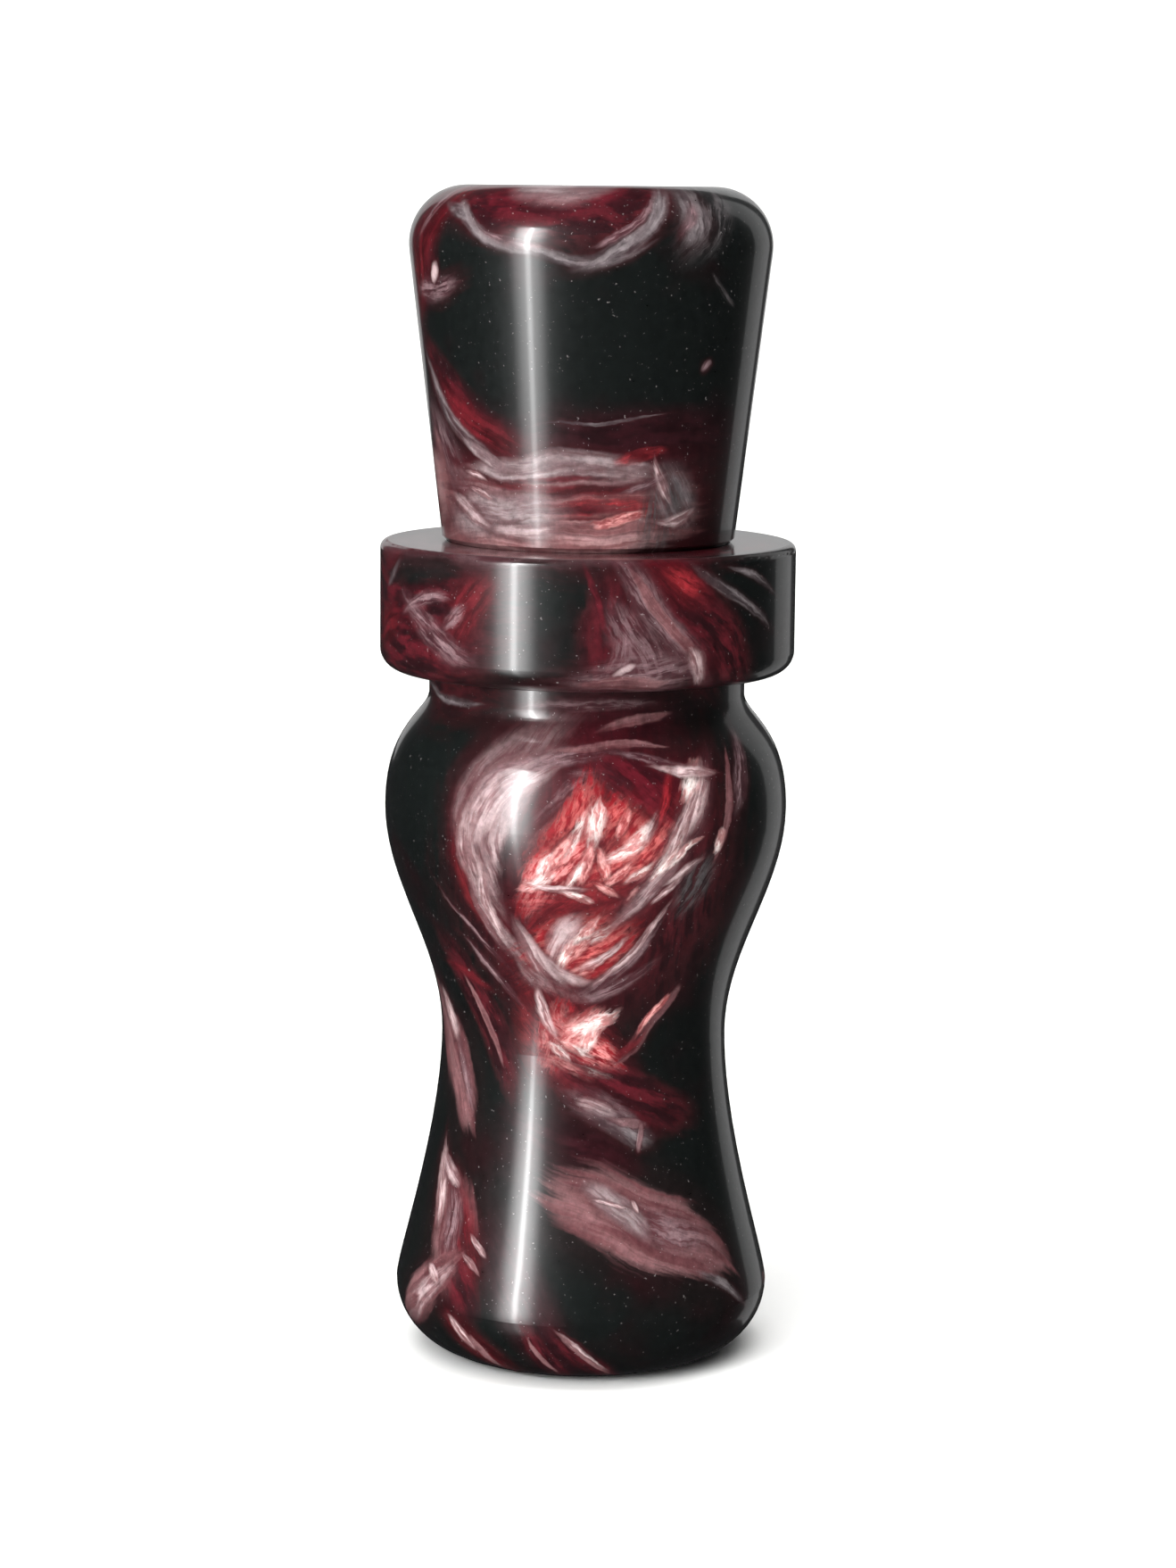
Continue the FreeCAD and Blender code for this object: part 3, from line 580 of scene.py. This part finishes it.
def resin_material(name, ribbons, group, top, top_radius):
    """Black resin with the given ribbons of pigment stirred into it, under a clear gloss."""
    material, g, shader = new_material(name)
    point, place, per_degree = surface_place(g, top, top_radius)
    haze = g.smooth(g.noise(point, HAZE_SCALE, 3.0, 0.6), 0.52, 0.75)
    colour = g.mix(haze, (*BLACK.body, 1), (*WINE.body, 1))
    for number, ribbon in enumerate(Ribbon(*values) for values in ribbons):
        slope = math.radians(ribbon.tilt)
        length, width, pigment = ribbon.half_length, ribbon.half_width, ribbon.pigment
        inputs = {
            "Place": place,
            "Scale": per_degree,
            "Centre": (ribbon.angle, ribbon.height, 0),
            "Direction": (math.cos(slope) / length, math.sin(slope) / length, 0),
            "Side": (-math.sin(slope) / width, math.cos(slope) / width, 0),
            "Bend": ribbon.bend * length * length / width,
            "Taper": ribbon.taper,
            "Edge": pigment.edge,
            "Sides": pigment.sides,
            "Fray": pigment.fray,
            "Halo": pigment.halo,
            "Gaps": pigment.gaps,
            "Grain": (length * pigment.grain[0], width * pigment.grain[1], 0),
            "Seed": (3.7 * number, 1.9 * number, 0),
            "Body": (*pigment.body, 1),
            "Fibre": (*pigment.fibre, 1),
            "Below": colour,
        }
        made = g.node("ShaderNodeGroup", node_tree=group)
        for socket, value in inputs.items():
            g.feed(made.inputs[socket], value)
        colour, place = made.outputs
    mottle = g.noise(point, MOTTLE_SCALE, 4.0, 0.7)
    shade = g.math("MULTIPLY_ADD", mottle, *MOTTLE_SHADE)
    colour = g.vector("MULTIPLY", colour, g.join(shade, shade, shade))
    specks = g.smooth(g.noise(point, SPECK_SCALE, 1.0, 0.7), 0.70, 0.80)
    colour = g.mix(g.math("MULTIPLY", specks, SPECK_STRENGTH), colour, SPECK_COLOUR)
    roughness = g.math("MULTIPLY_ADD", mottle, *MOTTLE_ROUGHNESS)
    set_shader(g, shader, Base_Color=colour, Roughness=roughness, Normal=g.bump(mottle, 0.04, 0.1 * MM))
    set_shader(g, shader, Specular_IOR_Level=0.30, Coat_Weight=1.0, Coat_Roughness=0.10, Coat_IOR=1.45)
    return material


def toneboard_plastic(g, point):
    cloud = g.noise(point, 260.0, 4.0)
    colour = g.mix(cloud, (0.011, 0.011, 0.012, 1), (0.019, 0.019, 0.021, 1))
    roughness = g.math("MULTIPLY_ADD", cloud, 0.12, 0.24)
    return colour, roughness, g.bump(g.noise(point, 900.0), 0.02, 0.1 * MM)


def reed_film(g, point):
    """Pale film, finely brushed along its length."""
    brushed = g.noise(g.vector("MULTIPLY", point, (3000.0, 3000.0, 160.0)), 1.0, 3.0)
    colour = g.mix(brushed, (0.30, 0.32, 0.315, 1), (0.42, 0.44, 0.43, 1))
    return colour, g.smooth(brushed, 0.3, 0.7, 0.3, 0.5), g.bump(brushed, 0.06, 0.05 * MM)


def cork(g, point):
    """Brown grain over cells, with dark pits."""
    cells = g.node("ShaderNodeTexVoronoi", {"Vector": point, "Scale": 900.0}).outputs["Distance"]
    grain = g.noise(point, 420.0, 6.0, 0.65)
    pits = g.smooth(g.noise(point, 520.0, 3.0, 0.6), 0.60, 0.68)
    bark = g.mix(grain, (0.17, 0.085, 0.038, 1), (0.40, 0.235, 0.12, 1))
    colour = g.mix(pits, bark, (0.06, 0.026, 0.012, 1))
    hollow = g.math("SUBTRACT", g.math("MULTIPLY", cells, 0.5), pits)
    return colour, g.smooth(grain, 0.3, 0.7, 0.75, 0.92), g.bump(hollow, 0.5, 0.3 * MM)


def o_ring_rubber(g, point):
    dust = g.noise(point, 900.0, 4.0, 0.7)
    colour = g.mix(dust, (0.012, 0.012, 0.012, 1), (0.04, 0.04, 0.038, 1))
    return colour, g.smooth(dust, 0.3, 0.7, 0.45, 0.65), g.bump(dust, 0.1, 0.1 * MM)


def plain_materials():
    """Materials of the pieces inside the call, by slot. Each recipe gives colour, roughness and normal."""
    made = {}
    for recipe in (toneboard_plastic, reed_film, cork, o_ring_rubber):
        material, g, shader = new_material(recipe.__name__)
        colour, roughness, normal = recipe(g, g.object_point())
        set_shader(g, shader, Base_Color=colour, Roughness=roughness, Normal=normal)
        made[recipe.__name__] = material
    return made


def paint_cad_nodes(plain):
    """Gives the two turnings their own resin and every other CAD node the material of its slot."""
    group = ribbon_group()
    resins = {
        "barrel": resin_material("barrel_resin", BARREL_RIBBONS, group, *BARREL_TOP),
        "stopper": resin_material("stopper_resin", STOPPER_RIBBONS, group, *STOPPER_TOP),
    }
    slots = {s["node"]: s["material_slot"] for s in frame["record"]["subparts"]}
    for name, node in frame["nodes"].items():
        node.data.materials[0] = resins.get(name) or plain[slots[name]]


def grid_piece(name, points, faces, flat_faces, material):
    """A mesh object, shaded smooth apart from its flat faces."""
    mesh = bpy.data.meshes.new(name)
    mesh.from_pydata(points, [], faces + flat_faces)
    mesh.polygons.foreach_set("use_smooth", [True] * len(faces) + [False] * len(flat_faces))
    mesh.materials.append(material)
    piece = bpy.data.objects.new(name, mesh)
    bpy.context.scene.collection.objects.link(piece)
    return piece


# ---------------------------------------------------------------------------------------------
# Reeds: film that is clamped under the cork and bends over the facing

REED_CORNER = 2.2 * MM
REED_EAR = 0.9 * MM
REED_PITCH = 0.7 * MM
CORNER_STEPS = 8
DIMPLE_RADIUS = 1.1 * MM
DIMPLE_DEPTH = 0.1 * MM
DIMPLE_FROM_TIP = 6.0 * MM
DIMPLE_STEPS = 8


def spaced(start, end, pitch):
    """Values from start to end, both included, about a pitch apart."""
    steps = max(1, round(abs(end - start) / pitch))
    return [start + (end - start) * step / steps for step in range(steps + 1)]


def dimple_steps(middle):
    """Values across the dimple, close together."""
    return spaced(middle - DIMPLE_RADIUS, middle + DIMPLE_RADIUS, DIMPLE_RADIUS / DIMPLE_STEPS)


def reed_half_width(half, above_tip, below_end):
    """Half the film's width at a height, less the rounded corner at the tip or the clipped one behind."""
    missing = max(REED_CORNER - above_tip, 0.0)
    rounded = REED_CORNER - math.sqrt(REED_CORNER**2 - missing**2)
    return half - rounded - max(REED_EAR - below_end, 0.0)


def make_reed(node, material, dimpled=False):
    """A film reed in place of the rigid plate, with rows of faces along it so that it can bend."""
    low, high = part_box(node)
    half = high.x
    film_back = high.y - (DIMPLE_DEPTH if dimpled else 0.0)
    dimple_height = low.z + DIMPLE_FROM_TIP
    corner_turns = [math.radians(90 * step / CORNER_STEPS) for step in range(CORNER_STEPS + 1)]
    rows = [low.z + REED_CORNER * (1 - math.cos(turn)) for turn in corner_turns]
    columns = spaced(-1.0, 1.0, REED_PITCH / half)
    if dimpled:
        rows += spaced(rows[-1], dimple_height - DIMPLE_RADIUS, REED_PITCH)[1:-1]
        rows += dimple_steps(dimple_height)
        columns = spaced(-1.0, -DIMPLE_RADIUS / half, REED_PITCH / half)
        columns += [x / half for x in dimple_steps(0.0)[1:-1]]
        columns += spaced(DIMPLE_RADIUS / half, 1.0, REED_PITCH / half)
    rows += spaced(rows[-1], high.z - REED_EAR, REED_PITCH)[1:] + [high.z]
    points = []
    for y in (low.y, film_back):
        for z in rows:
            reach = reed_half_width(half, z - low.z, high.z - z)
            for column in columns:
                x = column * reach
                away = math.hypot(x, z - dimple_height) / DIMPLE_RADIUS
                pressed = DIMPLE_DEPTH * max(0.0, 1 - away * away) ** 2 if dimpled else 0.0
                points.append((x, y + pressed, z))
    across, up = len(columns), len(rows)
    back = across * up
    faces, rim = [], []
    for row in range(up - 1):
        for column in range(across - 1):
            at = row * across + column
            quad = (at, at + 1, at + across + 1, at + across)
            faces.append(quad)
            faces.append(tuple(back + corner for corner in reversed(quad)))
    edge = list(range(across)) + [row * across + across - 1 for row in range(1, up)]
    edge += list(range(back - 2, back - across - 1, -1)) + [row * across for row in range(up - 2, 0, -1)]
    for here, there in zip(edge, edge[1:] + edge[:1]):
        rim.append((there, here, here + back, there + back))
    film = grid_piece(f"{node}_film", points, faces, rim, material)
    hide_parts(node)
    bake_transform(film)


# ---------------------------------------------------------------------------------------------
# Cork: a half-moon wedge, pitted all over

CORK_PITCH = 0.22 * MM
CORK_EDGE = 0.35 * MM
CORK_CAP_RINGS = 14
PIT_OCTAVES = ((0.7, 1.0), (0.4, 2.7))
PIT_SIZE = 0.55 * MM
PIT_DEPTH = 0.30 * MM
PIT_START = 0.18
PIT_SLOPE = 2.0


def cork_section(half, flat, radius):
    """The cork's outline seen along the call: its flat, a side, the round back and the other side."""
    shoulder = math.sqrt(radius**2 - half**2)
    reach = math.asin(half / radius)
    outline = [(x, flat) for x in spaced(-half, half, CORK_PITCH)[:-1]]
    outline += [(half, y) for y in spaced(flat, -shoulder, CORK_PITCH)[:-1]]
    for turn in spaced(reach, -reach, CORK_PITCH / radius)[:-1]:
        outline.append((radius * math.sin(turn), -radius * math.cos(turn)))
    outline += [(-half, y) for y in spaced(-shoulder, flat, CORK_PITCH)[:-1]]
    return outline


def cork_pit(point):
    """How far the cork's skin is sunk at a point."""
    worn = sum(noise.noise(point / PIT_SIZE * fineness) * share for share, fineness in PIT_OCTAVES)
    return PIT_DEPTH * min(max((worn - PIT_START) * PIT_SLOPE, 0.0), 1.0)


def make_cork(material):
    """The wedge in place of the plain solid, worn round at its ends."""
    low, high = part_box("reed_cork")
    outline = cork_section(high.x, high.y, -low.y)
    middle = Vector((0, (low.y + high.y) / 2, 0))
    worn = 1 - CORK_EDGE / (high.y - middle.y)
    cap = [worn * ring / CORK_CAP_RINGS for ring in range(1, CORK_CAP_RINGS + 1)]
    sides = spaced(low.z + CORK_EDGE, high.z - CORK_EDGE, CORK_PITCH)
    rings = [(share, low.z, 1) for share in cap] + [(1.0, z, 0) for z in sides]
    rings += [(share, high.z, -1) for share in reversed(cap)]
    points = []
    for share, z, inwards in rings:
        for x, y in outline:
            radial = (Vector((x, y, 0)) - middle) * share
            point = middle + radial + Vector((0, 0, z))
            sunk = Vector((0, 0, inwards)) if inwards else -radial.normalized()
            points.append(point + sunk * cork_pit(point))
    count = len(outline)
    faces = []
    for ring in range(len(rings) - 1):
        for step in range(count):
            here, there = ring * count + step, ring * count + (step + 1) % count
            faces.append((here, there, there + count, here + count))
    ends = [tuple(reversed(range(count))), tuple(range(len(points) - count, len(points)))]
    wedge = grid_piece("reed_cork_wedge", points, faces, ends, material)
    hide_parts("reed_cork")
    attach(wedge, "cork")


# ---------------------------------------------------------------------------------------------
# Studio

CAMERA_DISTANCE = 345.8 * MM
CAMERA_ASIDE = 0.2 * MM
CAMERA_HEIGHT = CALL_TOP + 0.2 * MM
CAMERA_PITCH = 8.89
CAMERA_ROLL = 0.586
CAMERA_LENS = 88.19


def make_camera():
    """Level with the call's top and looking a little down, on an 88 mm lens."""
    camera = bpy.data.objects.new("camera", bpy.data.cameras.new("camera"))
    bpy.context.scene.collection.objects.link(camera)
    camera.data.lens = CAMERA_LENS
    camera.data.clip_start = 0.01
    place = Matrix.Translation((CAMERA_ASIDE, -CAMERA_DISTANCE, CAMERA_HEIGHT))
    tilt = Matrix.Rotation(math.radians(90 - CAMERA_PITCH), 4, "X")
    roll = Matrix.Rotation(math.radians(CAMERA_ROLL), 4, "Z")
    camera.matrix_world = place @ tilt @ roll
    bpy.context.scene.camera = camera


# A softbox: where it stands round the call (0 is the camera's side and 90 the right), its height, its
# distance, its width and height, its power in watts, and the height that it is aimed at.
Softbox = namedtuple("Softbox", "azimuth height distance size power aim_height")
STRIP = Softbox(-40, -0.08, 0.60, (0.30, 1.10), 1.57, -0.10)
RIGHT_PANEL = Softbox(138, 0.10, 0.60, (0.28, 0.90), 0.28, 0.06)
BACK_PANEL = Softbox(184, 0.22, 0.62, (0.50, 0.40), 0.30, 0.10)
FRONT_FILL = Softbox(-15, 0.62, 0.65, (0.6, 0.6), 6.0, 0.05)
OVERHEAD = Softbox(180, 1.1, 0.15, (1.2, 1.2), 9.0, 0.0)
WALL_FILL = Softbox(0, 0.7, 0.10, (1.0, 0.4), 7.0, 0.3)
WALL_FILL_WAY = (0, 1.0, -0.35)

# The strip across: half widths of its core and its skirt, where each is gone and where it is full, as
# shares of the strip's width, and their strengths. Up the strip: shares of its height.
STRIP_CORE_EDGES = (0.085, 0.03)
STRIP_SKIRT_EDGES = (0.5, 0.05)
STRIP_CORE = 12.0
STRIP_SKIRT = 7.5
STRIP_FOOT_RISE = (0.10, 0.40)
STRIP_RISE = (0.36, 0.70)
STRIP_TOP_RISE = (0.70, 0.84)
STRIP_FOOT = 0.12
STRIP_TOP = 1.4


def area_light(name, box):
    data = bpy.data.lights.new(name, "AREA")
    data.shape = "RECTANGLE"
    data.size, data.size_y = box.size
    data.energy = box.power
    light = bpy.data.objects.new(name, data)
    bpy.context.scene.collection.objects.link(light)
    turn = math.radians(box.azimuth)
    light.location = (box.distance * math.sin(turn), -box.distance * math.cos(turn), box.height)
    aim = Vector((0, 0, box.aim_height)) - light.location
    light.rotation_euler = aim.to_track_quat("-Z", "Y").to_euler()
    return light


FLOOR_HALF_WIDTH = 1.6
FLOOR_FRONT = -1.6
FLOOR_BACK = 0.45
SWEEP_RADIUS = 0.35
SWEEP_STEPS = 24
WALL_HEIGHT = 1.2
FLOOR_COLOURS = ((0.80, 0.80, 0.79, 1), (0.84, 0.84, 0.83, 1))
ROOM_LIGHT = (0.02, 0.02, 0.021, 1)
ROOM_SEEN = (0.92, 0.92, 0.91, 1)


def make_stage():
    """A pale floor that sweeps up into a pale wall behind the call."""
    profile = [(FLOOR_FRONT, 0.0)]
    for step in range(SWEEP_STEPS + 1):
        turn = math.radians(90 * step / SWEEP_STEPS)
        profile.append((FLOOR_BACK + SWEEP_RADIUS * math.sin(turn), SWEEP_RADIUS * (1 - math.cos(turn))))
    profile.append((FLOOR_BACK + SWEEP_RADIUS, WALL_HEIGHT))
    points = [(side * FLOOR_HALF_WIDTH, y, z) for y, z in profile for side in (-1, 1)]
    faces = [(2 * i, 2 * i + 1, 2 * i + 3, 2 * i + 2) for i in range(len(profile) - 1)]
    mesh = bpy.data.meshes.new("floor")
    mesh.from_pydata(points, [], faces)
    mesh.polygons.foreach_set("use_smooth", [True] * len(faces))
    floor = bpy.data.objects.new("floor", mesh)
    bpy.context.scene.collection.objects.link(floor)
    material, g, shader = new_material("floor")
    colour = g.mix(g.noise(g.object_point(), 40.0, 3.0), *FLOOR_COLOURS)
    set_shader(g, shader, Base_Color=colour, Roughness=0.9, Specular_IOR_Level=0.1)
    mesh.materials.append(material)
    floor.visible_glossy = False

    world = bpy.data.worlds.new("studio")
    world.use_nodes = True
    bpy.context.scene.world = world
    g = Graph(world.node_tree)
    background = next(n for n in g.tree.nodes if n.type == "BACKGROUND")
    seen = g.node("ShaderNodeLightPath").outputs["Is Camera Ray"]
    g.feed(background.inputs["Color"], g.mix(seen, ROOM_LIGHT, ROOM_SEEN))
    bpy.context.scene.view_settings.view_transform = "Standard"


def soften_strip(light):
    """Gives a softbox a bright upright core and a wide soft skirt, fading out below, brightest at the top."""
    light.data.use_nodes = True
    g = Graph(light.data.node_tree)
    emission = next(n for n in g.tree.nodes if n.type == "EMISSION")
    across, up = g.split(g.node("ShaderNodeTexCoord").outputs["UV"])[:2]
    off_centre = g.math("ABSOLUTE", g.math("SUBTRACT", across, 0.5))
    core = g.smooth(off_centre, *STRIP_CORE_EDGES, 0.0, STRIP_CORE)
    skirt = g.smooth(off_centre, *STRIP_SKIRT_EDGES, 0.0, STRIP_SKIRT)
    foot = g.smooth(up, *STRIP_FOOT_RISE)
    middle = g.smooth(up, *STRIP_RISE, STRIP_FOOT, 1.0)
    top = g.smooth(up, *STRIP_TOP_RISE, 1.0, STRIP_TOP)
    level = g.math("MULTIPLY", g.math("MULTIPLY", foot, middle), top)
    g.feed(emission.inputs["Strength"], g.math("MULTIPLY", g.math("ADD", core, skirt), level))


def make_lights():
    """Softboxes that show in the gloss, and broad fills that only light the colours."""
    soften_strip(area_light("strip", STRIP))
    area_light("right_panel", RIGHT_PANEL)
    area_light("back_panel", BACK_PANEL).visible_camera = False
    front_fill = area_light("front_fill", FRONT_FILL)
    overhead = area_light("overhead", OVERHEAD)
    wall_fill = area_light("wall_fill", WALL_FILL)
    wall_fill.rotation_euler = Vector(WALL_FILL_WAY).to_track_quat("-Z", "Y").to_euler()
    for fill in (front_fill, overhead, wall_fill):
        fill.visible_glossy = False


make_camera()
make_stage()
make_lights()
plain = plain_materials()
paint_cad_nodes(plain)
make_reed("long_reed", plain["reed_film"])
make_reed("short_reed", plain["reed_film"], dimpled=True)
make_cork(plain["cork"])
